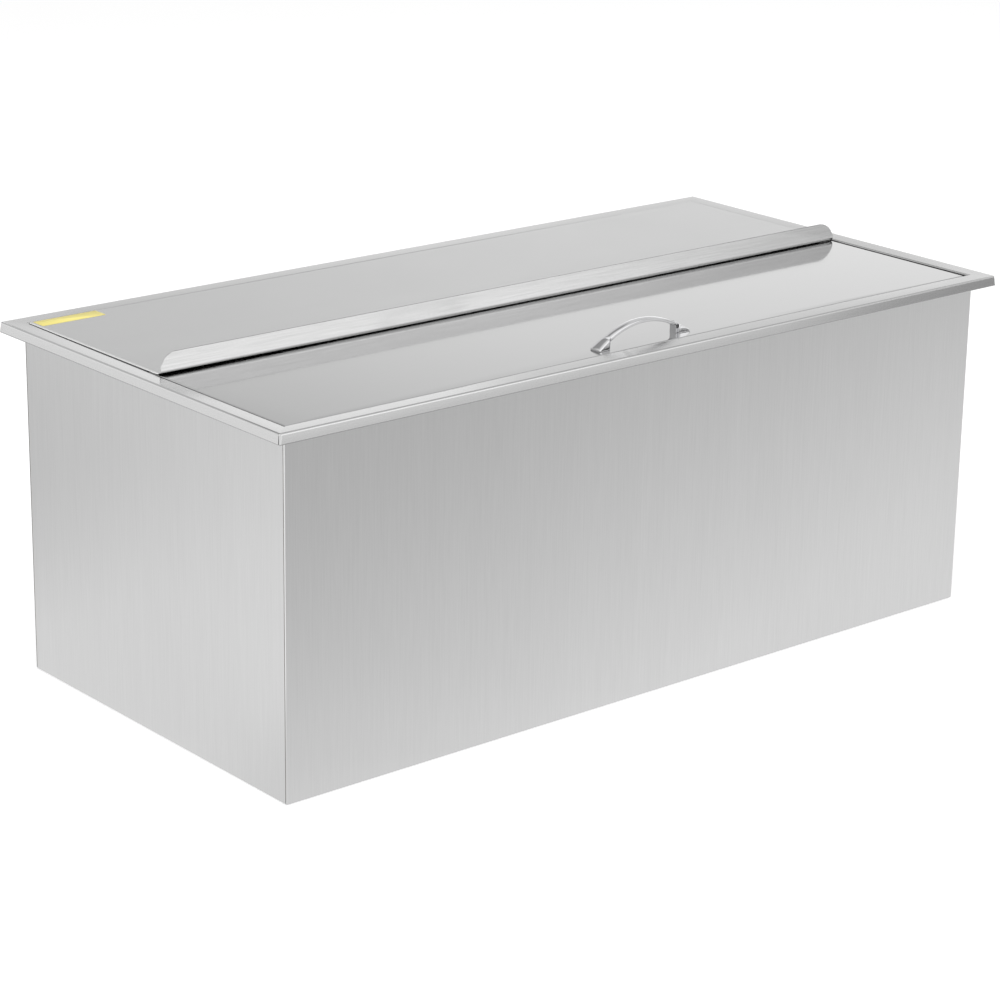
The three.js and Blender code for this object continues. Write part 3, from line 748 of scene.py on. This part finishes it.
def build_world():
    world = bpy.data.worlds.new("studio")
    bpy.context.scene.world = world
    world.use_nodes = True
    tree = world.node_tree
    tree.nodes.remove(tree.nodes["Background"])
    direction = add(tree, "TexCoord").outputs["Generated"]
    parts = add(tree, "SeparateXYZ", {0: direction}).outputs
    azimuth = maths(tree, "DEGREES", maths(tree, "ARCTAN2", parts[1], parts[0]))
    elevation = maths(tree, "DEGREES", maths(tree, "ARCSINE", parts[2]))
    value = 1.0
    for _, across, height, feather, gain in STUDIO:
        mask = 1.0
        for angle, (low, high), soft in ((azimuth, across, feather[0]), (elevation, height, feather[1])):
            mask = maths(tree, "MULTIPLY", mask, ramp(tree, angle, low - soft, low + soft, 0, 1))
            mask = maths(tree, "MULTIPLY", mask, ramp(tree, angle, high - soft, high + soft, 1, 0))
        value = maths(tree, "MULTIPLY_ADD", mask, gain, value)
    (low, high), soft, heights, gains = BACK_GRADE
    mask = maths(
        tree, "MULTIPLY",
        ramp(tree, azimuth, low - soft, low + soft, 0, 1),
        ramp(tree, azimuth, high - soft, high + soft, 1, 0),
    )
    grade = ramp(tree, elevation, *heights, *gains, smooth=False)
    value = maths(tree, "MULTIPLY_ADD", mask, grade, value)
    rays = add(tree, "LightPath").outputs
    mirror = maths(tree, "MAXIMUM", rays["Is Glossy Ray"], rays["Is Transmission Ray"])
    strength = blend(tree, mirror, ROOM_LIGHT, value, "FLOAT")
    strength = blend(tree, rays["Is Camera Ray"], strength, 1.0, "FLOAT")
    back = add(tree, "Background", {"Color": (1, 1, 1, 1), "Strength": strength})
    tree.links.new(back.outputs[0], tree.nodes["World Output"].inputs["Surface"])


# Area lamps aimed at the origin: place, side in metres and power in watts
LAMPS = {
    "key": ((-2.2, -1.8, 2.8), 2.4, 60),
    "fill": ((2.4, -0.6, 2.6), 2.4, 30),
}


def soft_lamp(name, place, size, power):
    light = bpy.data.lights.new(name, "AREA")
    light.shape = "SQUARE"
    light.size = size
    light.energy = power
    lamp = bpy.data.objects.new(name, light)
    lamp.location = place
    lamp.rotation_euler = (-Vector(place)).to_track_quat("-Z", "Y").to_euler()
    lamp.visible_glossy = False
    bpy.context.scene.collection.objects.link(lamp)


# Fitted to the photograph's edges: focal length, turns about Z, X and Z in radians, and place
SENSOR = 36
LENS = 110.1644
TURNS = (-2.440248, 1.247522, 3.125715)
CAMERA_PLACE = (-1.917454, -2.249927, 1.133047)
VIEW_END = 60


def build_camera():
    data = bpy.data.cameras.new("camera")
    data.sensor_width = SENSOR
    data.lens = LENS
    data.clip_end = VIEW_END
    camera = bpy.data.objects.new("camera", data)
    bpy.context.scene.collection.objects.link(camera)
    first, second, third = TURNS
    turn = (
        Matrix.Rotation(third, 3, "Z") @ Matrix.Rotation(second, 3, "X") @ Matrix.Rotation(first, 3, "Z")
    )
    camera.matrix_world = Matrix.Translation(CAMERA_PLACE) @ turn.transposed().to_4x4()
    bpy.context.scene.camera = camera


build_floor()
build_world()
for lamp_name, settings in LAMPS.items():
    soft_lamp(lamp_name, *settings)
build_camera()
bpy.context.scene.view_settings.view_transform = "Standard"
